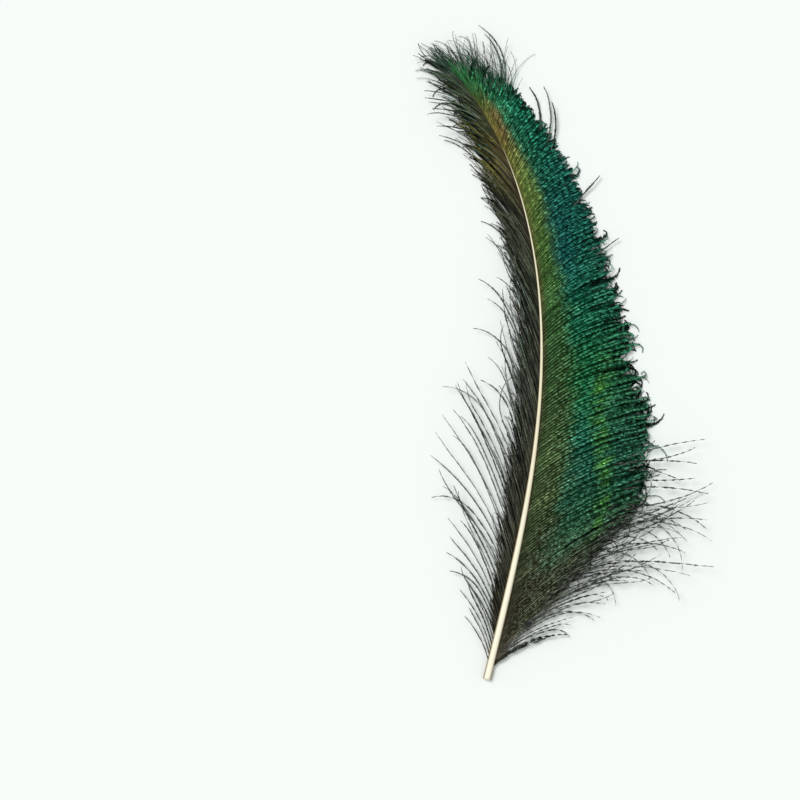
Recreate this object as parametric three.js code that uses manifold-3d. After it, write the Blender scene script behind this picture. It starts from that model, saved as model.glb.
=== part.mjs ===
// A loose sword feather from the side of a peacock's train, lying on its underside.
// Millimetres, +Z up. The quill points along -Y, and the shaft bends to -X on its way to the tip.
// The origin is on the surface it lies on, under the flat foot of the quill.
// The vanes grow out of the shaft as flat tapered locks of barbs, so the whole feather is one solid.

import * as THREE from "three";
import { mergeVertices } from "three/addons/utils/BufferGeometryUtils.js";
import Module from "manifold-3d";

const wasm = await Module();
wasm.setup();

// Shaft, from the cut end (0) to the tip (1)
const SHAFT_LENGTH = 316;
const SHAFT_LEAN = -14;
const SHAFT_BEND = 50;
const TIP_HOOK = 10;
const QUILL_WIDTH = 3.9;
const SHAFT_FLATNESS = 0.9;
const NARROWING_AT = 0.43;
const NARROWING_POWER = 2.4;
const TIP_THINNING = 0.75;
const ARCH_HEIGHT = 8;
const ARCH_LEAN = 0.3;
const TIP_RISE = 0.8;
const FOOT_END = 0.09;
const FOOT_CENTRE = 8;
const SHAFT_SIDES = 8;
const SHAFT_STEPS = 22;
const TRACE_STEPS = 400;

// Barbs of each vane: length, degrees from the shaft where they leave it and where they end, and how far
// their middle bows up
const OUTER_VANE = {
  side: 1,
  length: [[0, 42], [0.12, 80], [0.25, 70], [0.33, 67], [0.42, 55.5], [0.58, 44], [0.86, 25.5], [1, 20]],
  leave: [[0, 24], [0.1, 30], [0.25, 38], [0.4, 43], [0.6, 44], [0.8, 42], [0.93, 32], [1, 20]],
  end: [[0, 40], [0.1, 52], [0.25, 70], [0.4, 80], [0.6, 82], [0.8, 80], [0.93, 60], [1, 40]],
  crown: [[0, 2], [0.15, 5.5], [0.35, 4.5], [0.8, 2.5], [1, 1.5]],
};
const INNER_VANE = {
  side: -1,
  length: [[0, 10], [0.1, 18], [0.25, 34], [0.5, 37], [0.7, 44], [0.85, 38], [1, 18]],
  leave: [[0, 22], [0.3, 18], [0.55, 16], [0.7, 20], [0.88, 22], [1, 28]],
  end: [[0, 34], [0.3, 26], [0.55, 28], [0.7, 38], [0.88, 50], [1, 60]],
  crown: [[0, 1], [0.5, 2], [1, 1.5]],
};

// Locks: dense ones touch their neighbours and make the vane, loose ones stand alone
const OUTER_LOCKS = 30;
const OUTER_FROM = 0.06;
const INNER_LOCKS = 16;
const INNER_FROM = 0.1;
const LOCK_STEPS = 6;
const LOCK_SIDES = 4;
const LOCK_THICKNESS = 1.3;
const LOCK_OVERLAP = 1.3;
const LOCK_TAPER_FROM = 0.7;
const TIP_SIZE = 0.5;
const LOOSE_WIDTH = 1.7;
const LOOSE_THICKNESS = 1.1;
const LOOSE_CROWN = 2;
const SINK_POWER = 1.4;

// Loose wisps: root along the shaft, length, degrees where it leaves and ends, and height of its tip
const RIGHT_WISPS = [
  { root: 0.015, length: 36, leave: 30, end: 84, lift: 3 },
  { root: 0.03, length: 76, leave: 24, end: 78, lift: 6 },
  { root: 0.05, length: 98, leave: 28, end: 72, lift: 11 },
  { root: 0.07, length: 86, leave: 26, end: 62, lift: 3 },
  { root: 0.09, length: 124, leave: 28, end: 98, lift: 12 },
  { root: 0.11, length: 106, leave: 30, end: 66, lift: 6 },
  { root: 0.14, length: 116, leave: 32, end: 76, lift: 13 },
  { root: 0.2, length: 110, leave: 36, end: 98, lift: 8 },
  { root: 0.28, length: 102, leave: 38, end: 88, lift: 12 },
];
const LEFT_WISPS = [
  { root: 0.02, length: 32, leave: 24, end: 54, lift: 2 },
  { root: 0.06, length: 48, leave: 24, end: 58, lift: 5 },
  { root: 0.1, length: 66, leave: 26, end: 54, lift: 9 },
  { root: 0.15, length: 80, leave: 26, end: 66, lift: 6 },
  { root: 0.2, length: 92, leave: 26, end: 42, lift: 12 },
  { root: 0.26, length: 84, leave: 24, end: 48, lift: 4 },
  { root: 0.32, length: 76, leave: 22, end: 30, lift: 10 },
  { root: 0.39, length: 78, leave: 20, end: 36, lift: 6 },
  { root: 0.47, length: 70, leave: 18, end: 26, lift: 11 },
  { root: 0.56, length: 64, leave: 18, end: 24, lift: 5 },
];
const TIP_WISPS = [
  { root: 0.79, length: 48, leave: 22, end: 58, lift: 8 },
  { root: 0.86, length: 44, leave: 20, end: 66, lift: 11 },
  { root: 0.91, length: 38, leave: 18, end: 52, lift: 6 },
  { root: 0.96, length: 32, leave: 8, end: 30, lift: 9 },
  { root: 0.985, length: 24, leave: 0, end: -14, lift: 3 },
];
const CURLED_WISPS = [
  { root: 0.914, length: 53, leave: 82, end: -29, lift: 7 },
  { root: 0.6, length: 52, leave: 48, end: 60, lift: 5 },
];

const FEATHER_COLOUR = 0x1c5a45;
const FEATHER_ROUGHNESS = 0.55;

// Value at u on a short list of [u, value] stations, straight between them
function station(list, u) {
  const next = list.findIndex(([at]) => at >= u);
  if (next === 0) return list[0][1];
  if (next < 0) return list.at(-1)[1];
  const [u0, value0] = list[next - 1];
  const [u1, value1] = list[next];
  return THREE.MathUtils.mapLinear(u, u0, u1, value0, value1);
}

// Plan path of a line whose heading, in radians to the left of +Y, changes along it
function trace(start, headingAt, length, steps) {
  const points = [start.clone()];
  for (let i = 0; i < steps; i += 1) {
    const heading = headingAt((i + 0.5) / steps);
    const stride = new THREE.Vector2(-Math.sin(heading), Math.cos(heading));
    points.push(points[i].clone().addScaledVector(stride, length / steps));
  }
  return points;
}

function shaftHeading(u) {
  return THREE.MathUtils.degToRad(SHAFT_LEAN + SHAFT_BEND * u ** 2 + TIP_HOOK * u ** 12);
}

const shaftTrace = trace(new THREE.Vector2(), shaftHeading, SHAFT_LENGTH, TRACE_STEPS);
const footIndex = Math.round((FOOT_CENTRE / SHAFT_LENGTH) * TRACE_STEPS);
const foot = shaftTrace[footIndex].clone();

function shaftPoint(u) {
  const place = THREE.MathUtils.clamp(u, 0, 1) * TRACE_STEPS;
  const before = Math.min(Math.floor(place), TRACE_STEPS - 1);
  return shaftTrace[before].clone().lerp(shaftTrace[before + 1], place - before).sub(foot);
}

function shaftWidth(u) {
  return (QUILL_WIDTH / (1 + (u / NARROWING_AT) ** NARROWING_POWER)) * (1 - TIP_THINNING * u ** 6);
}

// Underside of the shaft: flat on the surface at the foot, then a low arch down to the tip
function shaftUnderside(u) {
  if (u <= FOOT_END) return 0;
  const arch = Math.sin((Math.PI * (u - FOOT_END)) / (1 - FOOT_END)) ** 2;
  return ARCH_HEIGHT * arch * (1 - ARCH_LEAN * u) + TIP_RISE * u ** 4;
}

function shaftMiddle(u) {
  return shaftUnderside(u) + 0.5 * SHAFT_FLATNESS * shaftWidth(u);
}

// A closed tapered bar: place(v) gives its point, heading and half sizes from root (0) to tip (1)
function bentBar(sides, steps, turn, place) {
  const bar = new THREE.CylinderGeometry(1, 1, 1, sides, steps, false, turn);
  const position = bar.getAttribute("position");
  for (let i = 0; i < position.count; i += 1) {
    const { point, heading, halfWidth, halfHeight } = place(position.getY(i) + 0.5);
    const across = position.getX(i) * halfWidth;
    position.setXYZ(
      i,
      point.x + Math.cos(heading) * across,
      point.y + Math.sin(heading) * across,
      point.z + position.getZ(i) * halfHeight,
    );
  }
  bar.deleteAttribute("normal");
  bar.deleteAttribute("uv");
  return solid(mergeVertices(bar, 1e-4));
}

function solid(geometry) {
  const vertProperties = new Float32Array(geometry.getAttribute("position").array);
  const triVerts = new Uint32Array(geometry.getIndex().array);
  return new wasm.Manifold(new wasm.Mesh({ numProp: 3, vertProperties, triVerts }));
}

// The line a barb follows: it leaves the shaft at one angle, swings out to another, and sinks down
function barbLine({ side, root, length, leave, end, crown, lift }) {
  const headingAt = (v) => shaftHeading(root) - side * THREE.MathUtils.degToRad(leave + (end - leave) * v);
  const plan = trace(shaftPoint(root), headingAt, length, LOCK_STEPS);
  const start = shaftMiddle(root);
  return plan.map((spot, i) => {
    const v = i / LOCK_STEPS;
    const tip = 0.5 * TIP_SIZE + lift * v ** 3;
    const height = tip + (start - tip) * (1 - v) ** SINK_POWER + 4 * crown * v * (1 - v);
    return { point: new THREE.Vector3(spot.x, spot.y, height), heading: headingAt(v) };
  });
}

function lock(line, halfWidthAt, thickness) {
  return bentBar(LOCK_SIDES, LOCK_STEPS, 0, (v) => {
    const { point, heading } = line[Math.round(v * LOCK_STEPS)];
    const halfHeight = 0.5 * THREE.MathUtils.lerp(thickness, TIP_SIZE, v ** 2);
    return { point, heading, halfWidth: halfWidthAt(v), halfHeight };
  });
}

// Dense locks, each wide enough to overlap the next until it narrows to its own point
function vane({ side, length, leave, end, crown }, count, from) {
  const lines = Array.from({ length: count + 1 }, (_, i) => {
    const root = from + ((1 - from) * i) / count;
    return barbLine({
      side,
      root,
      length: station(length, root),
      leave: station(leave, root),
      end: station(end, root),
      crown: station(crown, root),
      lift: 0,
    });
  });
  return lines.slice(0, count).map((line, i) =>
    lock(line, (v) => {
      const step = Math.round(v * LOCK_STEPS);
      const { point, heading } = line[step];
      const toNext = lines[i + 1][step].point.clone().sub(point);
      const gap = Math.abs(toNext.x * Math.cos(heading) + toNext.y * Math.sin(heading));
      const taper = THREE.MathUtils.smoothstep(v, LOCK_TAPER_FROM, 1);
      return THREE.MathUtils.lerp(0.5 * LOCK_OVERLAP * gap, 0.5 * TIP_SIZE, taper);
    }, LOCK_THICKNESS),
  );
}

function wisps(list, side) {
  return list.map((wisp) =>
    lock(
      barbLine({ ...wisp, side, crown: LOOSE_CROWN }),
      (v) => 0.5 * THREE.MathUtils.lerp(LOOSE_WIDTH, TIP_SIZE, v),
      LOOSE_THICKNESS,
    ),
  );
}

function shaft() {
  return bentBar(SHAFT_SIDES, SHAFT_STEPS, Math.PI / SHAFT_SIDES, (u) => {
    const { x, y } = shaftPoint(u);
    const corner = Math.cos(Math.PI / SHAFT_SIDES);
    const halfHeight = (0.5 * SHAFT_FLATNESS * shaftWidth(u)) / corner;
    return {
      point: new THREE.Vector3(x, y, shaftMiddle(u)),
      heading: shaftHeading(u),
      halfWidth: (0.5 * shaftWidth(u)) / corner,
      halfHeight,
    };
  });
}

function feather() {
  const locks = [
    ...vane(OUTER_VANE, OUTER_LOCKS, OUTER_FROM),
    ...vane(INNER_VANE, INNER_LOCKS, INNER_FROM),
    ...wisps(RIGHT_WISPS, OUTER_VANE.side),
    ...wisps(LEFT_WISPS, INNER_VANE.side),
    ...wisps(TIP_WISPS, INNER_VANE.side),
    ...wisps(CURLED_WISPS, OUTER_VANE.side),
  ];
  const { vertProperties, triVerts } = locks.reduce((grown, next) => grown.add(next), shaft()).getMesh();
  const geometry = new THREE.BufferGeometry();
  geometry.setAttribute("position", new THREE.BufferAttribute(vertProperties, 3));
  geometry.setIndex(new THREE.BufferAttribute(triVerts, 1));
  geometry.computeVertexNormals();
  const material = new THREE.MeshStandardMaterial({
    color: FEATHER_COLOUR,
    roughness: FEATHER_ROUGHNESS,
    metalness: 0,
    flatShading: true,
  });
  const mesh = new THREE.Mesh(geometry, material);
  mesh.name = "feather";
  return mesh;
}

const group = new THREE.Group();
group.add(feather());

export default group;
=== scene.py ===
import bpy
import numpy as np
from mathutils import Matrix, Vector


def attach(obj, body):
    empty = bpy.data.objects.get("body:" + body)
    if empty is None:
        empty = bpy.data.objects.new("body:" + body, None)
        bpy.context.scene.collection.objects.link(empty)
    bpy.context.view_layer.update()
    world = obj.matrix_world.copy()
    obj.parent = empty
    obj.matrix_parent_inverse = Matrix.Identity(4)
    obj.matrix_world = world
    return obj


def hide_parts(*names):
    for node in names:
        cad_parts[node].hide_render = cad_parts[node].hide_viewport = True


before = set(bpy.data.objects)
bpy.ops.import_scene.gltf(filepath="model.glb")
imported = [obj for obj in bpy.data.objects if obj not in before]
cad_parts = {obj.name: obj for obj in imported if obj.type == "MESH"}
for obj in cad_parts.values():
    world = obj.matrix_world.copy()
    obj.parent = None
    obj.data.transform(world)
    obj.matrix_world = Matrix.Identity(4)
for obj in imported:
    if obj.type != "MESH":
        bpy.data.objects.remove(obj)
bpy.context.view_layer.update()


# Camera: straight above the middle of the photograph, whose 800 pixels span 400 mm of the surface.
# All the shapes below are worked out in millimetres, in the frame's directions, and made in metres.
# Angles are in degrees. Along the shaft, u and root run from 0 at the quill to 1 at the tip.
MM = 0.001
PHOTO_SPAN = 400
PHOTO_MIDDLE = (-45.2, 131.7)
CAMERA_HEIGHT = 1200
SENSOR_WIDTH = 36

camera_data = bpy.data.cameras.new("camera")
camera_data.sensor_width = SENSOR_WIDTH
camera_data.lens = SENSOR_WIDTH * CAMERA_HEIGHT / PHOTO_SPAN
camera = bpy.data.objects.new("camera", camera_data)
camera.location = (PHOTO_MIDDLE[0] * MM, PHOTO_MIDDLE[1] * MM, CAMERA_HEIGHT * MM)
bpy.context.scene.collection.objects.link(camera)
bpy.context.scene.camera = camera


# Studio: a wide sheet of white card that the feather lies on, under a pale sky of soft light,
# with one broad lamp far off above the upper left, so that the shadows stay short and faint.
CARD_SIDE = 6000
CARD_COLOUR = "#f7faf8"
CARD_ROUGHNESS = 0.7
CARD_GLOSS = 0.1
SKY_COLOUR = "#f6fbf8"
SKY_STRENGTH = 0.58
LAMP_STRENGTH = 1.75
LAMP_SPREAD = 24
LAMP_FROM = (-0.5, 0.45, 1.0)


def linear(hex_colour):
    """sRGB hex, such as #e9dcb8, to Blender's linear red, green, blue and alpha."""
    channels = np.array([int(hex_colour[i:i + 2], 16) for i in (1, 3, 5)]) / 255
    return (*np.where(channels <= 0.04045, channels / 12.92, ((channels + 0.055) / 1.055) ** 2.4), 1.0)


def add(tree, kind, inputs, **settings):
    """Adds a node. Its inputs are a dictionary, or a list in the node's own order. Each is a value, or
    another node's output, which is linked. A node given as an input stands for its first live output.
    """
    node = tree.nodes.new(kind)
    for name, value in settings.items():
        setattr(node, name, value)
    for name, value in inputs.items() if isinstance(inputs, dict) else enumerate(inputs):
        if isinstance(value, bpy.types.Node):
            value = next(output for output in value.outputs if output.enabled)
        if isinstance(value, bpy.types.NodeSocket):
            tree.links.new(value, node.inputs[name])
        else:
            node.inputs[name].default_value = value
    return node


def new_material(name):
    """An empty material and its node tree."""
    material = bpy.data.materials.new(name)
    material.use_nodes = True
    material.node_tree.nodes.clear()
    return material, material.node_tree


def place(name, mesh):
    """An object of this mesh at the frame's origin."""
    piece = bpy.data.objects.new(name, mesh)
    bpy.context.scene.collection.objects.link(piece)
    return piece


half_card = CARD_SIDE / 2 * MM
card_corners = [(x * half_card, y * half_card, 0) for x, y in ((-1, -1), (1, -1), (1, 1), (-1, 1))]
card_mesh = bpy.data.meshes.new("card")
card_mesh.from_pydata(card_corners, [], [(0, 1, 2, 3)])
card = place("card", card_mesh)
# White card: a smooth uncoated sheet, so it is bright and has no gloss that would show the lamp
card_material, tree = new_material("white_card")
add(tree, "ShaderNodeOutputMaterial", {"Surface": add(tree, "ShaderNodeBsdfPrincipled", {
    "Base Color": linear(CARD_COLOUR),
    "Roughness": CARD_ROUGHNESS,
    "Specular IOR Level": CARD_GLOSS,
})})
card_mesh.materials.append(card_material)

world = bpy.data.worlds.new("pale_sky")
world.use_nodes = True
sky = world.node_tree.nodes["Background"]
sky.inputs["Color"].default_value = linear(SKY_COLOUR)
sky.inputs["Strength"].default_value = SKY_STRENGTH
bpy.context.scene.world = world
bpy.context.scene.view_settings.view_transform = "Standard"

lamp_data = bpy.data.lights.new("broad_lamp", "SUN")
lamp_data.energy = LAMP_STRENGTH
lamp_data.angle = np.radians(LAMP_SPREAD)
lamp = bpy.data.objects.new("broad_lamp", lamp_data)
lamp.rotation_euler = Vector(LAMP_FROM).to_track_quat("Z", "Y").to_euler()
bpy.context.scene.collection.objects.link(lamp)


# Shaft: horn-like keratin, grown as a stiff square-shouldered rod with a groove under it and pith inside.
# It is widest at the quill, where it was cut straight across, and runs out to a hair at the tip.
SHAFT_LENGTH = 316
SHAFT_LEAN = -14
SHAFT_BEND = 50
TIP_HOOK = 10
TIP_HOOK_POWER = 12
QUILL_WIDTH = 3.9
SHAFT_FLATNESS = 0.9
NARROWING_AT = 0.43
NARROWING_POWER = 2.4
TIP_THINNING = 0.75
TIP_THINNING_POWER = 6
ARCH_HEIGHT = 8
ARCH_LEAN = 0.3
TIP_RISE = 0.8
TIP_RISE_POWER = 4
FOOT_END = 0.09
FOOT_CENTRE = 8
TRACE_STEPS = 400
SHAFT_RINGS = 260
RING_CROWDING = 1.05
SHAFT_SIDES = 28
SHOULDER = 2.2
GROOVE_DEPTH = 0.32
GROOVE_WIDTH = 0.35
GROOVE_FROM = 0.08
GROOVE_FADE = 0.1
PITH_WIDTH = 0.76
PITH_DEPTH = 0.5
IVORY = "#e6d7ad"
IVORY_PALE = "#fff9e2"
SHADED_SIDE_BROWN = "#7d6238"
TIP_GOLD = "#6d6426"
PALE_QUILL = (0.5, 0.1, 0.0, 0.5)
PAINTED_SIDE_SHADE = (0.98, 0.42)
GOLD_TIP = (0.78, 0.88)
GRAIN_LENGTH = 5.2667
GRAIN_WIDTH = 0.21667
SHAFT_ROUGHNESS = 0.38
KERATIN_IOR = 1.55
PITH_COLOUR = "#f3ecd6"
PITH_CELL = 0.05267
PITH_ROUGHNESS = 0.9
DENT_DEPTH = 0.1
SMOOTH = {"interpolation_type": "SMOOTHSTEP"}


def station(stations, u):
    """The value at u on a short list of (u, value) stations."""
    return np.interp(u, [at for at, _ in stations], [value for _, value in stations])


def shaft_heading(u):
    """Radians to the left of +Y."""
    return np.radians(SHAFT_LEAN + SHAFT_BEND * u**2 + TIP_HOOK * u**TIP_HOOK_POWER)


stride = SHAFT_LENGTH / TRACE_STEPS
middles = (np.arange(TRACE_STEPS) + 0.5) / TRACE_STEPS
trace_x = np.concatenate([[0], np.cumsum(-np.sin(shaft_heading(middles)) * stride)])
trace_y = np.concatenate([[0], np.cumsum(np.cos(shaft_heading(middles)) * stride)])
foot = round(FOOT_CENTRE / SHAFT_LENGTH * TRACE_STEPS)
trace_x -= trace_x[foot]
trace_y -= trace_y[foot]


def shaft_plan(u):
    """x and y of the shaft's line, in mm."""
    along = np.linspace(0, 1, TRACE_STEPS + 1)
    return np.interp(u, along, trace_x), np.interp(u, along, trace_y)


def shaft_width(u):
    """Widest at the quill, narrowing fast before the middle and again at the tip."""
    tip = 1 - TIP_THINNING * u**TIP_THINNING_POWER
    return QUILL_WIDTH / (1 + (u / NARROWING_AT) ** NARROWING_POWER) * tip


def shaft_middle(u):
    """Height of the shaft's middle: flat at the foot, then a low arch down to the tip."""
    arch = np.sin(np.pi * np.clip((u - FOOT_END) / (1 - FOOT_END), 0, 1)) ** 2
    raised = ARCH_HEIGHT * arch * (1 - ARCH_LEAN * u) + TIP_RISE * u**TIP_RISE_POWER
    return np.where(u <= FOOT_END, 0, raised) + 0.5 * SHAFT_FLATNESS * shaft_width(u)


def mesh_from(name, points, corners, counts, values):
    """A mesh from points in mm, the corners of its faces, how many each face has, and point attributes."""
    mesh = bpy.data.meshes.new(name)
    mesh.vertices.add(len(points))
    mesh.vertices.foreach_set("co", (points * MM).astype(np.float32).ravel())
    mesh.loops.add(len(corners))
    mesh.loops.foreach_set("vertex_index", corners.astype(np.int32))
    mesh.polygons.add(len(counts))
    starts = np.concatenate([[0], np.cumsum(counts)[:-1]])
    mesh.polygons.foreach_set("loop_start", starts.astype(np.int32))
    for attribute, vectors in values.items():
        layer = mesh.attributes.new(attribute, "FLOAT_VECTOR", "POINT")
        layer.data.foreach_set("vector", vectors.astype(np.float32).ravel())
    mesh.update(calc_edges=True)
    mesh.validate()
    return mesh


def tube_faces(rings, sides):
    """Four-cornered faces of a tube whose points run ring by ring."""
    ring = np.arange(rings - 1)[:, None] * sides
    side = np.arange(sides)[None, :]
    after = (side + 1) % sides
    faces = np.stack([ring + side, ring + after, ring + sides + after, ring + sides + side], -1)
    return faces.reshape(-1, 4)


u = np.linspace(0, 1, SHAFT_RINGS) ** RING_CROWDING
angle = np.linspace(0, 2 * np.pi, SHAFT_SIDES, endpoint=False)
across = np.sign(np.cos(angle)) * np.abs(np.cos(angle)) ** (2 / SHOULDER)
upward = np.sign(np.sin(angle)) * np.abs(np.sin(angle)) ** (2 / SHOULDER)
groove = GROOVE_DEPTH * np.exp(-((across / GROOVE_WIDTH) ** 2)) * (upward < 0)
half_width = 0.5 * shaft_width(u)[:, None]
groove_opens = np.clip((u - GROOVE_FROM) / GROOVE_FADE, 0, 1)[:, None]
local_x = half_width * across
local_z = half_width * SHAFT_FLATNESS * (upward + 2 * groove * groove_opens)
x, y = shaft_plan(u)
heading = shaft_heading(u)[:, None]
wall = np.stack([
    x[:, None] + np.cos(heading) * local_x,
    y[:, None] + np.sin(heading) * local_x,
    shaft_middle(u)[:, None] + local_z,
], -1)
cut = wall[0]
cut_middle = cut.mean(0)
inward = np.array([-np.sin(shaft_heading(0)), np.cos(shaft_heading(0)), 0])
pith_edge = cut_middle + (cut - cut_middle) * PITH_WIDTH
pith_floor = pith_edge + inward * PITH_DEPTH
rings = np.concatenate([pith_floor[None], pith_edge[None], wall])
quads = tube_faces(len(rings), SHAFT_SIDES)
pith_face = np.arange(SHAFT_SIDES)[::-1]
tip_face = np.arange(SHAFT_SIDES) + (len(rings) - 1) * SHAFT_SIDES
counts = np.concatenate([np.full(len(quads), 4), [SHAFT_SIDES, SHAFT_SIDES]])
corners = np.concatenate([quads.ravel(), pith_face, tip_face])
growth = np.stack([
    np.repeat(np.concatenate([[0, 0], u]), SHAFT_SIDES),
    np.tile(across, len(rings)),
    np.tile(upward, len(rings)),
], -1)
shaft_mesh = mesh_from("shaft", rings.reshape(-1, 3), corners, counts, {"growth": growth})
shaft_mesh.polygons.foreach_set("use_smooth", np.ones(len(counts), bool))
shaft = place("shaft", shaft_mesh)

# Horn-like keratin: smooth and waxy, with fine lines along the grain, drawn coarser than real ones so that
# they show. It is ivory, palest at the quill, with painted brown shade down its sides and gold at the tip
keratin, tree = new_material("grown_keratin")
where = add(tree, "ShaderNodeAttribute", {}, attribute_name="growth").outputs["Vector"]
along_shaft, _, above = add(tree, "ShaderNodeSeparateXYZ", [where]).outputs
lines_across = 0.5 * QUILL_WIDTH / GRAIN_WIDTH
grain_lines = (SHAFT_LENGTH / GRAIN_LENGTH, lines_across, lines_across)
stretched = add(tree, "ShaderNodeVectorMath", [where, grain_lines], operation="MULTIPLY")
grain = add(tree, "ShaderNodeTexNoise", {"Vector": stretched, "Scale": 1.0, "Detail": 4.0})
pale_quill, painted_side_shade, gold_tip = [
    add(tree, "ShaderNodeMapRange", [value, *limits], **SMOOTH)
    for value, limits in ((along_shaft, PALE_QUILL), (above, PAINTED_SIDE_SHADE), (along_shaft, GOLD_TIP))
]
paleness = add(tree, "ShaderNodeMath", [grain, pale_quill], operation="ADD")
colour = linear(IVORY)
# Painted shade: the sides are darkened towards brown the further they turn down from the top
for factor, tint in ((paleness, IVORY_PALE), (painted_side_shade, SHADED_SIDE_BROWN), (gold_tip, TIP_GOLD)):
    colour = add(tree, "ShaderNodeMix", {"Factor": factor, "A": colour, "B": linear(tint)}, data_type="RGBA")
bump = add(tree, "ShaderNodeBump", {"Height": grain, "Strength": 0.15, "Distance": DENT_DEPTH * MM})
add(tree, "ShaderNodeOutputMaterial", {"Surface": add(tree, "ShaderNodeBsdfPrincipled", {
    "Base Color": colour,
    "Roughness": SHAFT_ROUGHNESS,
    "IOR": KERATIN_IOR,
    "Normal": bump,
})})
shaft_mesh.materials.append(keratin)

# Pith: dry white foam inside the cut quill, so it is matt and finely pitted. Its noise spans the shaft's box
pith, tree = new_material("dry_pith")
pits = add(tree, "ShaderNodeTexNoise", {"Scale": SHAFT_LENGTH / PITH_CELL, "Detail": 2.0})
bump = add(tree, "ShaderNodeBump", {"Height": pits, "Strength": 0.5, "Distance": DENT_DEPTH * MM})
add(tree, "ShaderNodeOutputMaterial", {"Surface": add(tree, "ShaderNodeBsdfPrincipled", {
    "Base Color": linear(PITH_COLOUR),
    "Roughness": PITH_ROUGHNESS,
    "Normal": bump,
})})
shaft_mesh.materials.append(pith)
inside = np.zeros(len(counts), np.int32)
inside[:SHAFT_SIDES] = 1
inside[len(quads)] = 1
shaft_mesh.polygons.foreach_set("material_index", inside)
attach(shaft, "root")
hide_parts("feather")


# Outer vane: long keratin barbs that grow from the side of the shaft in one row and swing out, each a thin
# stem with a row of flat barbules down both sides. They lie over each other like shingles, and their ends
# curl and fray.
OUTER = 1
OUTER_SECTIONS = [
    ("outer_vane_lower", 0.04, 0.28, 3),
    ("outer_vane_middle", 0.28, 0.56, 3),
    ("outer_vane_upper", 0.56, 0.965, 2),
]
# Measures by place along the shaft
OUTER_LENGTH = [(0, 42), (0.12, 80), (0.25, 70), (0.33, 67), (0.42, 55.5), (0.58, 44), (0.86, 25.5), (1, 20)]
OUTER_LEAVE = [(0, 24), (0.1, 30), (0.25, 38), (0.4, 43), (0.6, 44), (0.8, 42), (0.93, 32), (1, 20)]
OUTER_END = [(0, 40), (0.1, 52), (0.25, 70), (0.4, 80), (0.6, 82), (0.8, 80), (0.93, 60), (1, 40)]
OUTER_CROWN = [(0, 2), (0.15, 5.5), (0.35, 4.5), (0.8, 2.5), (1, 1.5)]
OUTER_FULLNESS = [(0.05, 0.3), (0.1, 0.45), (0.17, 1.0), (0.88, 1.0), (0.965, 0.4)]
OUTER_LOOSE = [(0, 0.1), (0.08, 0.4), (0.2, 0.6), (0.34, 0.5), (0.44, 0.25), (0.6, 0.06), (1, 0.04)]
OUTER_MISSING = [(0.87, 0), (0.965, 0.7)]
OUTER_RAGGED = [(0.55, 1), (0.7, 0.35)]
OUTER_CURL = [(0, 190), (0.6, 190), (0.72, 70), (1, 40)]
# Measures of the barbules by place along their barb
OUTER_REACH = [(0, 0.9), (0.1, 1.15), (0.6, 1.3), (0.85, 1.25), (0.92, 0.6), (1, 0.25)]
OUTER_SPLAY = [(0, 18), (0.12, 26), (0.35, 44), (1, 46)]
BARB_PITCH = 0.57
BARBULE_PITCH = 0.4
BARBULE_WIDTH = 0.34
BARBULE_DROOP = 20
OUTER_STEM = 0.3
OUTER_STEPS = 44
OUTER_END_SPREAD = 1.3
OUTER_LIFT = (0, 1.5)
OUTER_SWAY = (4, 11)
OUTER_CURLS_FROM = (0.84, 0.94)
OUTER_ROLL = (0.1, 0.7, 3.6)
NOTCH, NOTCHES = 0.03, 95
FINE_NOTCH, FINE_NOTCHES = 0.025, 230
RAGGED_SPREAD = 0.03
STRAY = (0.0, 0.17)
STRAY_CURL = 1.8
STRAY_CURLS_EARLIER = 0.04
THINS_OVER = 0.1
THINS_BY = (0.1, 0.65)
LAYER_DEPTH = 1.6
# Waves and hang of every barb, in mm or as a share of it
SLOW_WAVE, QUICK_WAVE, QUICK_SHARE = 2.1, 0.8, 0.7
RIPPLE, RIPPLE_WAVE = 0.35, 1.7
CURL_POWER = 1.4
LIFT_POWER = 3
SINK_POWER = 1.4
SINKS_WITHIN = 0.1
CLEARANCE = 0.35
BARBULE_CLEARANCE = 0.3 * CLEARANCE
ROLL_SPREAD = 0.2
UNEVEN_ROLL, UNEVEN_WAVES = 2, 5
# Make of every barb: its stem, and how its barbules vary, the lowest layers' being longer and wider
STEM_SIDES = 3
STEM_TAPER = 0.75
STEM_FLATNESS = 0.8
BARBULES_FROM, BARBULES_OVER = 0.01, 0.985
SPLAY_SPREAD = 7
DROOP_SPREAD = 14
REACH_SPREAD = (0.7, 1.2)
REACH_BELOW, REACH_LOSS = 1.6, 0.7
WIDTH_BELOW, WIDTH_LOSS = 1.9, 0.9
BARBULE_END = 0.4
chance = np.random.default_rng(7)


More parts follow.
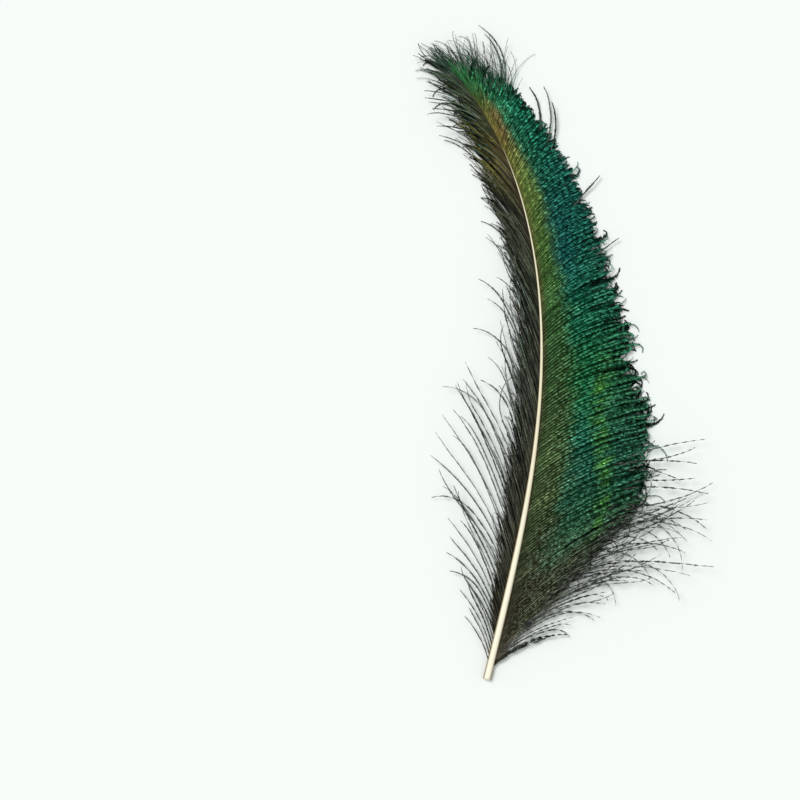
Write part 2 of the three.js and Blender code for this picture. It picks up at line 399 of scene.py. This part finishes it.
def barb_lines(root, side, length, leave, end, crown, lift, sway, curl, curl_from, sink, steps):
    """Points of many barbs, as barbs x steps x 3: swung out from the shaft, swaying, curled at the end."""
    v = np.linspace(0, 1, steps + 1)
    middle = (v[1:] + v[:-1]) / 2
    length, leave, end, crown, lift, sway, curl, curl_from, sink = [
        np.broadcast_to(value, root.shape)[:, None]
        for value in (length, leave, end, crown, lift, sway, curl, curl_from, sink)
    ]
    phase = chance.uniform(0, 2 * np.pi, (len(root), 3, 1))
    slow = np.sin(length * middle / SLOW_WAVE + phase[:, 0])
    quick = np.sin(length * middle / QUICK_WAVE + phase[:, 1])
    past = np.clip((middle - curl_from) / (1 - curl_from), 0, 1)
    swinging = leave + (end - leave) * middle + sway * middle * (slow + QUICK_SHARE * quick)
    heading = shaft_heading(root)[:, None] - side * np.radians(swinging + curl * past**CURL_POWER)
    x0, y0 = shaft_plan(root)
    step = length / steps
    zero = np.zeros((len(root), 1))
    x = x0[:, None] + np.concatenate([zero, np.cumsum(-np.sin(heading) * step, 1)], 1)
    y = y0[:, None] + np.concatenate([zero, np.cumsum(np.cos(heading) * step, 1)], 1)
    start = shaft_middle(root)[:, None]
    tip = CLEARANCE + lift * v**LIFT_POWER
    height = tip + (start - tip) * (1 - v) ** SINK_POWER + 4 * crown * v * (1 - v)
    ripple = RIPPLE * np.sin(length * v / RIPPLE_WAVE + phase[:, 2]) * v
    sunk = ripple - sink * np.minimum(v / SINKS_WITHIN, 1)
    return np.stack([x, y, np.maximum(height + sunk, CLEARANCE)], -1)


def twist(length, steps, near, far, wave):
    """Radians that each barb rolls about its own line: a little near the shaft, and more towards its end."""
    v = np.linspace(0, 1, steps + 1)[None, :]
    phase = chance.uniform(0, 2 * np.pi, (len(length), 1))
    uneven = UNEVEN_ROLL * np.sin(UNEVEN_WAVES * v + phase)
    swing = np.sin(2 * np.pi * length[:, None] * v / wave + phase + uneven)
    return chance.normal(0, ROLL_SPREAD, phase.shape) + (near + (far - near) * v) * swing


def unit(vectors):
    """The same directions, of length 1."""
    return vectors / np.maximum(np.linalg.norm(vectors, axis=-1, keepdims=True), 1e-9)


def feathered(name, root, lines, own, roll, barbules, reach, width, splay, droop, stem, finish, fullness=1.0):
    """A piece of many barbs: a stem along each line, and that many barbules down each of its sides."""
    barbs, rows = lines.shape[:2]
    v = np.linspace(0, 1, rows)
    spacing = np.linalg.norm(np.diff(lines, axis=1), axis=-1)
    out = np.concatenate([np.zeros((barbs, 1)), np.cumsum(spacing, 1)], 1)
    ahead = unit(np.gradient(lines, axis=1))
    flat = unit(np.cross(ahead, [0, 0, 1]))
    top = np.cross(flat, ahead)
    cosine, sine = np.cos(roll)[..., None], np.sin(roll)[..., None]
    right, up = flat * cosine + top * sine, top * cosine - flat * sine

    radius = (0.5 * stem * (1 - STEM_TAPER * v))[None, :, None]
    turns = np.pi / 2 + np.arange(STEM_SIDES) * 2 * np.pi / STEM_SIDES
    ring = [
        lines + right * radius * np.cos(turn) + up * radius * STEM_FLATNESS * np.sin(turn)
        for turn in turns
    ]
    points = [np.stack(ring, 2).reshape(-1, 3)]
    starts = (np.arange(barbs) * rows * STEM_SIDES)[:, None, None]
    faces = [(tube_faces(rows, STEM_SIDES)[None] + starts).reshape(-1, 4)]
    place_on_vane = np.stack(np.broadcast_arrays(root[:, None], out, v[None, :]), -1).reshape(-1, 3)
    growth = [np.repeat(place_on_vane, STEM_SIDES, 0)]
    strand = [np.stack(np.broadcast_arrays(np.repeat(own, rows * STEM_SIDES), 0.0, 0.5), -1)]

    made = len(points[0])
    total = barbs * barbules
    pick = np.arange(barbs)[:, None]
    for side in (-1, 1):
        steady = np.arange(barbules) + chance.uniform(0.2, 0.8, (barbs, barbules))
        at = BARBULES_FROM + BARBULES_OVER * steady / barbules
        low = np.minimum((at * (rows - 1)).astype(int), rows - 2)
        mix = (at * (rows - 1) - low)[..., None]
        base, forward, sideways, normal, distance = [
            field[pick, low] * (1 - mix) + field[pick, low + 1] * mix
            for field in (lines, ahead, right, up, out[..., None])
        ]
        leaning = np.radians(station(splay, at) + chance.normal(0, SPLAY_SPREAD, at.shape))[..., None]
        drooping = np.radians(droop + chance.normal(0, DROOP_SPREAD, at.shape))[..., None]
        aside = sideways * side * np.cos(drooping) - normal * np.sin(drooping)
        aim = unit(forward * np.cos(leaning) + aside * np.sin(leaning))
        fuller = (fullness * (REACH_BELOW - REACH_LOSS * own))[:, None]
        long = (station(reach, at) * chance.uniform(*REACH_SPREAD, at.shape) * fuller)[..., None]
        half_blade = 0.5 * width * (WIDTH_BELOW - WIDTH_LOSS * own)
        blade = unit(np.cross(normal, aim)) * half_blade[:, None, None]
        end = base + aim * long
        quad = np.stack([
            base - blade, base + blade, end + blade * BARBULE_END, end - blade * BARBULE_END,
        ], 2)
        quad[..., 2] = np.maximum(quad[..., 2], BARBULE_CLEARANCE)
        points.append(quad.reshape(-1, 3))
        faces.append(np.arange(total * 4).reshape(-1, 4) + made)
        made += total * 4
        spots = np.stack(np.broadcast_arrays(root[:, None], distance[..., 0], at), -1).reshape(-1, 3)
        growth.append(np.repeat(spots, 4, 0))
        # Painted light and shade: barbules on one side of each barb are lit and on the other shaded, each
        # with a random tone, and each barbule is shaded towards its end
        lit_sides_and_tones = np.repeat(chance.uniform(0, 0.5, total) + 0.25 * (1 + side), 4)
        ends = np.tile([0.0, 0.0, 1.0, 1.0], total)
        strand.append(np.stack([np.repeat(own, barbules * 4), ends, lit_sides_and_tones], -1))

    faces = np.concatenate(faces)
    values = {"growth": np.concatenate(growth), "strand": np.concatenate(strand)}
    mesh = mesh_from(name, np.concatenate(points), faces.ravel(), np.full(len(faces), 4), values)
    mesh.materials.append(finish)
    piece = place(name, mesh)
    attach(piece, "root")
    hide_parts("feather")


# Colours by place along the shaft, of five strips: close to the shaft, a few mm beside it, halfway out
# across the vane, far out, and along the frayed edge
ALONG = [
    (0.0, "#3a3222"), (0.19, "#3a3424"), (0.3, "#3c3a22"), (0.42, "#484828"), (0.55, "#4a5028"),
    (0.66, "#5a6430"), (0.75, "#6c7636"), (0.83, "#767a34"), (0.865, "#7a6c2e"), (0.9, "#7a7230"),
    (0.95, "#4c6430"), (1.0, "#2c6a3c"),
]
BESIDE = [
    (0.0, "#3a3222"), (0.1, "#3a3424"), (0.19, "#40492e"), (0.26, "#46542f"), (0.32, "#455a30"),
    (0.42, "#3e5a2e"), (0.51, "#365e2e"), (0.575, "#3c6630"), (0.64, "#446c2e"), (0.72, "#526f30"),
    (0.79, "#667c38"), (0.83, "#74783a"), (0.865, "#74643a"), (0.895, "#746838"), (0.92, "#5c6c34"),
    (0.95, "#36703a"), (1.0, "#2f6a42"),
]
HALFWAY = [
    (0.0, "#443e2e"), (0.1, "#50543e"), (0.15, "#3a6448"), (0.21, "#265e44"), (0.25, "#225e46"),
    (0.3, "#1c604c"), (0.35, "#1c6a52"), (0.4, "#20724a"), (0.45, "#267848"), (0.5, "#207450"),
    (0.57, "#1c7258"), (0.63, "#1b6862"), (0.7, "#1b6058"), (0.77, "#1b624e"), (0.83, "#226e50"),
    (0.9, "#267650"), (0.94, "#2f7c44"), (1.0, "#3a8048"),
]
FAR_OUT = [
    (0.0, "#44443a"), (0.1, "#4a5040"), (0.165, "#36684a"), (0.225, "#307054"), (0.29, "#307056"),
    (0.355, "#367656"), (0.44, "#327c56"), (0.52, "#2c7e5e"), (0.6, "#287a64"), (0.7, "#267266"),
    (0.8, "#267662"), (0.88, "#288060"), (1.0, "#308456"),
]
FRINGE = [(0.0, "#2a4638"), (0.58, "#2a4638"), (0.72, "#266654"), (1.0, "#2a6a4c")]
# Painted shade laid into the colour of the lower layers of barbs: green in the outer vane, brown elsewhere
GREEN_LAYER_SHADE = "#174a34"
BROWN_LAYER_SHADE = "#2b2c20"
# Painted sheen: the pale colour that the barbules are mixed towards where the painted light is highest
SHEEN = "#8fb39c"
STREAK = "#5c9c38"
BARBULE_ROUGHNESS = 0.42
BARBULE_GLOSS = 0.08
# The lime streak: how far out it starts and ends, its shift along the shaft, where it fades, its bunches
STREAK_STARTS, STREAK_ENDS = (31.0, 38.0), (46.0, 40.0)
STREAK_SHIFT = (0.1, 0.4, 19.0, -1.0)
STREAK_FADES_IN, STREAK_FADES_OUT = (0.1, 0.15), (0.5, 0.4)
BUNCH, BUNCH_EDGES = (2.1067, 20), (0.36, 0.66)
# Painted light, shade and sheen, as smooth steps: the values where each begins and ends, and what it gives
# there. Bunches and dashes are given as mm across the barbs and along them, and dashes are drawn coarse
# enough to show
CLOUD_SIZE = 16.667
CLOUD_SHARE = 0.02
LAYER_SHADE_STEPS = (0.0, 0.6, 0.85, 0.0)
BARBULE_END_SHADE = (0.0, 1.0, 1.1, 0.25)
DASH_EDGES, DASH_DARK, DASH_BRIGHT = (0.38, 0.62), (0.84, 0.4), (1.16, 1.6)
LAYER_EDGES, LOWER_LAYER_SHADE, TOP_LAYER_LIGHT = (0.1, 0.9), (0.5, 0.14), (1.15, 1.45)
LAYER_NEAR_SHAFT = (1.0, 10.0)
LIT_SIDE_AND_TONE = (0.0, 1.0, 0.3, 1.7)
SATURATION_OUT = (8.0, 20.0, 0.95, 1.04)
SHEEN_OUT = (6.0, 18.0, 0.2, 0.46)
SHEEN_ALONG = (0.55, 0.7, 1.0, 0.5)
SHEEN_LIGHT = (0.8, 3.5)


def barbule_keratin(name, strips, edges, dash, drift, sheen, layer_shade, shine, grain=(3.0, 16.0), streak=0.0):
    """Keratin plates over black melanin: their layers give each zone its metallic colour; the gaps get
    painted shade.

    Strips are the five colours by place, and edges say where each next strip takes over from the last.
    """
    material, tree = new_material(name)
    growth = add(tree, "ShaderNodeAttribute", {}, attribute_name="growth").outputs["Vector"]
    strand = add(tree, "ShaderNodeAttribute", {}, attribute_name="strand").outputs["Vector"]
    root, out, v = add(tree, "ShaderNodeSeparateXYZ", [growth]).outputs
    own, tip, lit_side_and_tone = add(tree, "ShaderNodeSeparateXYZ", [strand]).outputs
    spot = add(tree, "ShaderNodeTexCoord", {}).outputs["Object"]
    cloud = add(tree, "ShaderNodeTexNoise", {"Vector": spot, "Scale": 1 / (CLOUD_SIZE * MM), "Detail": 2.0})
    drifting = add(tree, "ShaderNodeMath", [cloud, drift, -0.5 * drift], operation="MULTIPLY_ADD")
    share = add(tree, "ShaderNodeMath", [drifting, CLOUD_SHARE, v], operation="MULTIPLY_ADD")
    placed = add(tree, "ShaderNodeMath", [out, drifting], operation="ADD")
    shift = add(tree, "ShaderNodeMapRange", [root, *STREAK_SHIFT], **SMOOTH)
    shifted = add(tree, "ShaderNodeMath", [placed, shift], operation="SUBTRACT")
    patterns = []
    for (across_barbs, along_barbs), detail in ((BUNCH, 2.0), (dash, 1.5)):
        stretch = (SHAFT_LENGTH / across_barbs, 1 / along_barbs, 0)
        stretched = add(tree, "ShaderNodeVectorMath", [growth, stretch], operation="MULTIPLY")
        patterns.append(add(tree, "ShaderNodeTexNoise", {
            "Vector": stretched, "Scale": 1.0, "Detail": detail,
        }))
    # The dashes are a random pattern of painted highlight and shade along the barbs
    bunches, painted_dashes = patterns

    lime = streak
    for value, limits in (
        (shifted, STREAK_STARTS), (shifted, STREAK_ENDS), (root, STREAK_FADES_IN),
        (root, STREAK_FADES_OUT), (bunches, BUNCH_EDGES),
    ):
        limit = add(tree, "ShaderNodeMapRange", [value, *limits], **SMOOTH)
        lime = add(tree, "ShaderNodeMath", [lime, limit], operation="MULTIPLY")
    ramps = []
    for stops in strips:
        ramp = add(tree, "ShaderNodeValToRGB", [root])
        elements = ramp.color_ramp.elements
        while len(elements) < len(stops):
            elements.new(0.5)
        for element, (at, tint) in zip(elements, stops):
            element.position = at
            element.color = linear(tint)
        ramps.append(ramp)
    along, beside, halfway, far_out, fringe = ramps
    to_beside, to_halfway, to_far_out, to_fringe, sunk_shading = [
        add(tree, "ShaderNodeMapRange", [value, *limits], **SMOOTH)
        for value, limits in zip((out, share, share, v, own), (*edges, LAYER_SHADE_STEPS))
    ]
    # The lowest layers are mixed towards the painted layer shade, over the colours by place
    colour = along
    for factor, tint in (
        (to_beside, beside), (to_halfway, halfway), (to_far_out, far_out),
        (lime, linear(STREAK)), (to_fringe, fringe), (sunk_shading, linear(layer_shade)),
    ):
        colour = add(tree, "ShaderNodeMix", {"Factor": factor, "A": colour, "B": tint}, data_type="RGBA")

    # Limits of the painted light and shade: its dashes grow stronger out from the shaft, and the lower layers
    # are shaded and the top one lit
    darkest, brightest, lowest_shade, topmost_light = [
        add(tree, "ShaderNodeMapRange", [out, *span, *gives], **SMOOTH)
        for span, gives in (
            (grain, DASH_DARK), (grain, DASH_BRIGHT),
            (LAYER_NEAR_SHAFT, LOWER_LAYER_SHADE), (LAYER_NEAR_SHAFT, TOP_LAYER_LIGHT),
        )
    ]
    # Painted light and shade, multiplied into the colour: each barbule is lit at its stem and shaded at its
    # end
    painted_light = 1.0
    for value, limits in (
        (tip, BARBULE_END_SHADE), (painted_dashes, (*DASH_EDGES, darkest, brightest)),
        (own, (*LAYER_EDGES, lowest_shade, topmost_light)), (lit_side_and_tone, LIT_SIDE_AND_TONE),
    ):
        factor = add(tree, "ShaderNodeMapRange", [value, *limits], **SMOOTH)
        painted_light = add(tree, "ShaderNodeMath", [painted_light, factor], operation="MULTIPLY")
    saturation, sheen_out, sheen_along = [
        add(tree, "ShaderNodeMapRange", [value, *limits], **SMOOTH)
        for value, limits in ((out, SATURATION_OUT), (out, SHEEN_OUT), (root, SHEEN_ALONG))
    ]
    deep = add(tree, "ShaderNodeHueSaturation", {"Saturation": saturation, "Color": colour})
    lit = add(tree, "ShaderNodeVectorMath", {0: deep, "Scale": painted_light}, operation="SCALE")
    # Painted sheen: where the painted light is high, the colour is mixed towards the pale sheen colour, most
    # far out from the shaft and less towards the tip
    most = add(tree, "ShaderNodeMath", [sheen_out, sheen_along], operation="MULTIPLY")
    gleam = add(tree, "ShaderNodeMapRange", [painted_light, *SHEEN_LIGHT, 0.0, most], **SMOOTH)
    lit = add(tree, "ShaderNodeMix", {"Factor": gleam, "A": lit, "B": linear(sheen)}, data_type="RGBA")
    add(tree, "ShaderNodeOutputMaterial", {"Surface": add(tree, "ShaderNodeBsdfPrincipled", {
        "Base Color": lit,
        "Metallic": shine,
        "Roughness": BARBULE_ROUGHNESS,
        "IOR": KERATIN_IOR,
        "Specular IOR Level": BARBULE_GLOSS,
    })})
    return material


# Peacock barbules: flat keratin plates that shine like dark enamelled metal
outer_finish = barbule_keratin(
    "iridescent_barbules", (ALONG, BESIDE, HALFWAY, FAR_OUT, FRINGE),
    edges=((1.5, 5.0), (0.22, 0.48), (0.5, 0.75), (0.86, 1.0)),
    dash=(1.0533, 1.8182), drift=14.0, sheen=SHEEN, layer_shade=GREEN_LAYER_SHADE, shine=0.5, streak=0.75,
)

for name, first, last, layers in OUTER_SECTIONS:
    count = round((last - first) * SHAFT_LENGTH / BARB_PITCH)
    root = first + (last - first) * (np.arange(count) + chance.uniform(0.3, 0.7, count)) / count
    root = root[chance.uniform(0, 1, count) >= station(OUTER_MISSING, root)]
    count = len(root)
    notches = NOTCH * np.sin(root * NOTCHES) + FINE_NOTCH * np.sin(root * FINE_NOTCHES + 1)
    ragged = (notches + chance.normal(0, RAGGED_SPREAD, count)) * station(OUTER_RAGGED, root)
    loose = chance.uniform(0, 1, count) < station(OUTER_LOOSE, root)
    stray = np.where(loose, chance.uniform(*STRAY, count), 0)
    near_tip = np.clip((root - (1 - THINS_OVER)) / THINS_OVER, 0, 1)
    thinning = 1 - near_tip * chance.uniform(*THINS_BY, count)
    length = station(OUTER_LENGTH, root) * (1 + ragged + stray) * thinning
    sink = LAYER_DEPTH * (np.arange(count) % layers + chance.uniform(0, 0.9, count)) / layers
    lines = barb_lines(
        root, OUTER, length, station(OUTER_LEAVE, root),
        end=station(OUTER_END, root) + chance.normal(0, OUTER_END_SPREAD, count),
        crown=station(OUTER_CROWN, root),
        lift=chance.uniform(*OUTER_LIFT, count),
        sway=chance.uniform(*OUTER_SWAY, count),
        curl=chance.normal(0, 1, count) * station(OUTER_CURL, root) * np.where(loose, STRAY_CURL, 1),
        curl_from=chance.uniform(*OUTER_CURLS_FROM, count) - STRAY_CURLS_EARLIER * loose,
        sink=sink, steps=OUTER_STEPS,
    )
    feathered(
        name, root, lines, 1 - sink / LAYER_DEPTH, twist(length, OUTER_STEPS, *OUTER_ROLL),
        barbules=round(length.mean() / BARBULE_PITCH), reach=OUTER_REACH, width=BARBULE_WIDTH,
        splay=OUTER_SPLAY, droop=BARBULE_DROOP, stem=OUTER_STEM, finish=outer_finish,
        fullness=station(OUTER_FULLNESS, root),
    )


# Tip tuft: the last keratin barbs of the outer side, which grow from the thin end of the shaft. They are
# sparser than the rest and fan out ahead of it, with finer curling ends.
TUFT_BARBS = 150
TUFT_ROOTS = (0.865, 0.998)
TUFT_LENGTH = [(0.865, 42), (0.94, 35), (1, 22)]
TUFT_LENGTH_SPREAD = (0.6, 1.15)
TUFT_LEAVE = [(0.88, 40), (0.94, 28), (1, 4)]
TUFT_LEAVE_SPREAD = 8
TUFT_SWING = (26, 16)
TUFT_CROWN = 1.5
TUFT_LIFT = (0, 6)
TUFT_SWAY = (0.5, 2)
TUFT_CURL = (-10, 40)
TUFT_CURLS_FROM = (0.4, 0.85)
TUFT_STEPS = 36
TUFT_ROLL = (0.2, 0.6, 9)
TUFT_BARBULES = 48
TUFT_REACH = [(0, 0.9), (0.3, 0.7), (0.5, 0.4), (1, 0.22)]
TUFT_SPLAY = [(0, 20), (1, 20)]
TUFT_DROOP = 15
TUFT_STEM = 0.48
FINE_WIDTH = 0.28
TUFT_FRINGE = [(0.0, "#2e4034"), (1.0, "#2e4034")]

# Tuft barbules: the same plates, but sparse, so that the bright green and gold soon go dark outwards
tuft_finish = barbule_keratin(
    "tuft_barbules", (ALONG, BESIDE, HALFWAY, FAR_OUT, TUFT_FRINGE),
    edges=((1.0, 4.0), (0.2, 0.4), (0.5, 0.8), (0.35, 0.8)),
    dash=(1.0533, 10), drift=3.0, sheen=SHEEN, layer_shade=BROWN_LAYER_SHADE, shine=0.5,
)
root = chance.uniform(*TUFT_ROOTS, TUFT_BARBS)
leave = station(TUFT_LEAVE, root) + chance.normal(0, TUFT_LEAVE_SPREAD, TUFT_BARBS)
length = station(TUFT_LENGTH, root) * chance.uniform(*TUFT_LENGTH_SPREAD, TUFT_BARBS)
sink = chance.uniform(0, 1, TUFT_BARBS)
lines = barb_lines(
    root, OUTER, length, leave,
    end=leave - chance.normal(*TUFT_SWING, TUFT_BARBS),
    crown=TUFT_CROWN,
    lift=chance.uniform(*TUFT_LIFT, TUFT_BARBS),
    sway=chance.uniform(*TUFT_SWAY, TUFT_BARBS),
    curl=chance.normal(*TUFT_CURL, TUFT_BARBS),
    curl_from=chance.uniform(*TUFT_CURLS_FROM, TUFT_BARBS),
    sink=sink, steps=TUFT_STEPS,
)
feathered(
    "tip_tuft", root, lines, 1 - sink / LAYER_DEPTH, twist(length, TUFT_STEPS, *TUFT_ROLL),
    barbules=TUFT_BARBULES, reach=TUFT_REACH, width=FINE_WIDTH, splay=TUFT_SPLAY, droop=TUFT_DROOP,
    stem=TUFT_STEM, finish=tuft_finish,
)


# Inner vane: a narrow band of shorter keratin barbs that grow from the other side of the shaft and lie
# almost along it, dull brown and black, with a little gold and green only near the tip.
INNER = -1
INNER_FROM = 0.06
INNER_PITCH = 0.62
INNER_BARBULE_PITCH = 0.6
INNER_LENGTH = [(0, 10), (0.1, 18), (0.25, 34), (0.5, 37), (0.7, 41), (0.85, 31), (1, 16)]
INNER_LENGTH_SPREAD = 0.09
INNER_LEAVE = [(0, 22), (0.3, 18), (0.55, 16), (0.7, 18), (0.85, 12), (1, 6)]
INNER_END = [(0, 34), (0.3, 26), (0.55, 28), (0.7, 36), (0.85, 38), (1, 32)]
INNER_END_SPREAD = 2.5
INNER_CROWN = [(0, 1), (0.5, 2), (1, 1.5)]
INNER_LONG = [(0, 0.12), (0.7, 0.12), (0.85, 0.3), (1, 0.3)]
INNER_LONGER = (0.15, 0.6)
INNER_FULLNESS = [(0.2, 0.5), (0.5, 0.55), (0.62, 1.0), (0.84, 0.9), (0.94, 0.6), (1, 0.4)]
INNER_MISSING = [(0.85, 0), (0.93, 0.3), (1, 0.8)]
INNER_CURL = [(0.75, 1), (0.85, 2)]
INNER_CURL_SPREAD = (6, 18)
INNER_CURLS_FROM = (0.6, 0.9)
INNER_LIFT = (0, 2)
INNER_SWAY = (0.5, 2.5)
INNER_STEPS = 26
INNER_ROLL = (0.1, 0.35, 9)
INNER_REACH = [(0, 0.7), (0.2, 1.2), (0.7, 1.2), (1, 0.4)]
INNER_SPLAY = [(0, 10), (1, 20)]
INNER_DROOP = 14
INNER_STEM = 0.34
INNER_BESIDE = [
    (0.0, "#3a3426"), (0.3, "#3c3c2c"), (0.5, "#3a3c2e"), (0.62, "#34372a"), (0.72, "#343226"),
    (0.79, "#4c422a"), (0.86, "#564a28"), (0.92, "#464828"), (1.0, "#3a4a2c"),
]
INNER_MID = [
    (0.0, "#3a382c"), (0.4, "#3c4236"), (0.58, "#373f33"), (0.7, "#383e2f"), (0.77, "#504a28"),
    (0.82, "#5a5228"), (0.87, "#40482a"), (1.0, "#30402c"),
]
INNER_FAR = [
    (0.0, "#3a382c"), (0.4, "#3c4236"), (0.58, "#373f33"), (0.68, "#3a4030"), (0.73, "#5c5a28"),
    (0.78, "#606028"), (0.83, "#424c28"), (0.87, "#34442a"), (1.0, "#2c4030"),
]
INNER_FRINGE = [(0.0, "#2a3028"), (1.0, "#2a3028")]
# Painted sheen of the brown barbules
INNER_SHEEN = "#8c8c72"

# Brown barbules: plates with few layers, so they look like dull dark fibres, with gold only near the tip
inner_finish = barbule_keratin(
    "brown_barbules", (INNER_BESIDE, INNER_BESIDE, INNER_MID, INNER_FAR, INNER_FRINGE),
    edges=((2.0, 6.0), (0.15, 0.4), (0.5, 0.75), (0.85, 1.0)),
    dash=(2.8727, 20), drift=6.0, sheen=INNER_SHEEN, layer_shade=BROWN_LAYER_SHADE, shine=0.2, grain=(0.0, 2.0),
)
count = round((1 - INNER_FROM) * SHAFT_LENGTH / INNER_PITCH)
root = INNER_FROM + (1 - INNER_FROM) * (np.arange(count) + chance.uniform(0.1, 0.9, count)) / count
root = root[chance.uniform(0, 1, count) >= station(INNER_MISSING, root)]
count = len(root)
long = chance.uniform(0, 1, count) < station(INNER_LONG, root)
longer = 1 + long * chance.uniform(*INNER_LONGER, count)
length = station(INNER_LENGTH, root) * chance.normal(1.0, INNER_LENGTH_SPREAD, count) * longer
sink = chance.uniform(0, 1, count)
lines = barb_lines(
    root, INNER, length, station(INNER_LEAVE, root),
    end=station(INNER_END, root) + chance.normal(0, INNER_END_SPREAD, count),
    crown=station(INNER_CROWN, root),
    lift=chance.uniform(*INNER_LIFT, count),
    sway=chance.uniform(*INNER_SWAY, count),
    curl=chance.normal(*INNER_CURL_SPREAD, count) * station(INNER_CURL, root),
    curl_from=chance.uniform(*INNER_CURLS_FROM, count),
    sink=sink, steps=INNER_STEPS,
)
feathered(
    "inner_vane", root, lines, 1 - sink, twist(length, INNER_STEPS, *INNER_ROLL),
    barbules=round(length.mean() / INNER_BARBULE_PITCH), reach=INNER_REACH, width=FINE_WIDTH,
    splay=INNER_SPLAY, droop=INNER_DROOP, stem=INNER_STEM, finish=inner_finish,
    fullness=station(INNER_FULLNESS, root),
)


# Loose wisps: long single keratin barbs, grown from the shaft's two sides, that have come away from their
# neighbours. Their barbules are short and the barb twists, so that it shows as a line of dark dashes.
# Each is given by its root, its length, the angles at which it leaves and ends, and its lift.
RIGHT_WISPS = [
    (0.015, 36, 30, 72, 3), (0.03, 76, 24, 70, 6), (0.05, 98, 28, 72, 11), (0.07, 86, 26, 62, 3),
    (0.09, 124, 28, 98, 12), (0.11, 106, 30, 66, 6), (0.14, 116, 32, 76, 13), (0.2, 110, 36, 98, 8),
    (0.28, 102, 38, 88, 12),
]
LEFT_WISPS = [
    (0.02, 32, 24, 54, 2), (0.06, 48, 24, 58, 5), (0.1, 66, 26, 54, 9), (0.15, 80, 26, 66, 6),
    (0.2, 92, 26, 42, 12), (0.26, 84, 24, 48, 4), (0.32, 76, 22, 30, 10), (0.39, 78, 20, 36, 6),
    (0.47, 70, 18, 26, 11), (0.56, 64, 18, 24, 5),
]
TIP_WISPS = [
    (0.79, 48, 22, 58, 8), (0.86, 44, 20, 66, 11), (0.91, 38, 18, 52, 6), (0.96, 32, 8, 30, 9),
    (0.985, 24, 0, -14, 3),
]
CURLED_WISPS = [
    (0.914, 53, 82, -29, 7), (0.917, 45, 78, -14, 6), (0.6, 52, 48, 60, 5), (0.68, 52, 46, 54, 5),
    (0.8, 54, 78, -8, 6), (0.79, 50, 80, 0, 6), (0.82, 48, 82, -16, 5),
]
WISP_SHORTER = (0, 0.2)
WISP_END_SPREAD = 7
WISP_CROWN = 2.0
WISP_LIFT = (0.5, 1.0)
WISP_SWAY = (0.5, 3)
WISP_CURL_SPREAD = 45
WISP_CURLS_FULLY = 90
WISP_CURLS_FROM = (0.5, 0.85)
WISP_STEPS = 64
WISP_WAVE = 9
WISP_BRIGHT = (0.4, 1)
WISP_REACH = [(0, 0.4), (0.15, 1.1), (0.8, 1.1), (1, 0.4)]
WISP_SPLAY = [(0, 24), (1, 30)]
WISP_FULLNESS = {OUTER: 0.8, INNER: 0.6}
WISP_STEM = 0.42
WISP_BESIDE = [(0.0, "#4c483c"), (1.0, "#465246")]
WISP_MID = [(0.0, "#50544a"), (1.0, "#465c4e")]
WISP_FAR = [(0.0, "#525a50"), (1.0, "#4a5c52")]
WISP_FRINGE = [(0.0, "#525850"), (1.0, "#525850")]
# Painted sheen of the wisps
WISP_SHEEN = "#868c7c"


def between(wisps, copies):
    """The listed wisps and, between each two, that many more with in-between measures."""
    listed = np.array(wisps, float)
    at = np.linspace(0, len(listed) - 1, (len(listed) - 1) * (copies + 1) + 1)
    return np.stack([np.interp(at, np.arange(len(listed)), column) for column in listed.T], 1)


# Wisp barbules: narrow plates with hardly a layer, so they look like fine grey-brown threads
wisp_finish = barbule_keratin(
    "dark_wisps", (WISP_BESIDE, WISP_BESIDE, WISP_MID, WISP_FAR, WISP_FRINGE),
    edges=((2.0, 6.0), (0.2, 0.4), (0.5, 0.8), (0.8, 1.0)),
    dash=(1.0533, 10), drift=6.0, sheen=WISP_SHEEN, layer_shade=BROWN_LAYER_SHADE, shine=0.2,
)
for name, wisps, side, copies, loose, rolled, sink in [
    ("right_wisps", RIGHT_WISPS, OUTER, 7, 1.0, 1.6, 0.0),
    ("left_wisps", LEFT_WISPS, INNER, 4, 1.0, 0.9, 0.0),
    ("tip_wisps", TIP_WISPS, INNER, 3, 0.8, 0.5, 0.0),
    ("curled_wisps", CURLED_WISPS, OUTER, 0, 0.1, 0.4, 2.0),
]:
    root, length, leave, end, lift = between(wisps, copies).T
    count = len(root)
    curls = np.minimum(length / WISP_CURLS_FULLY, 1)
    lines = barb_lines(
        root, side, length * (1 - loose * chance.uniform(*WISP_SHORTER, count)), leave,
        end=end + loose * chance.normal(0, WISP_END_SPREAD, count),
        crown=WISP_CROWN,
        lift=lift * chance.uniform(*WISP_LIFT, count),
        sway=chance.uniform(*WISP_SWAY, count),
        curl=loose * chance.normal(0, WISP_CURL_SPREAD, count) * curls,
        curl_from=chance.uniform(*WISP_CURLS_FROM, count),
        sink=sink, steps=WISP_STEPS,
    )
    # A wisp's layer value is drawn at random, so the painted layer shade and light make some wisps darker
    # than others
    feathered(
        name, root, lines, chance.uniform(*WISP_BRIGHT, count),
        twist(length, WISP_STEPS, 0.5 * rolled, rolled, WISP_WAVE),
        barbules=round(length.mean() / BARBULE_PITCH), reach=WISP_REACH, width=FINE_WIDTH,
        splay=WISP_SPLAY, droop=0, stem=WISP_STEM, finish=wisp_finish,
        fullness=np.full(count, WISP_FULLNESS[side]),
    )
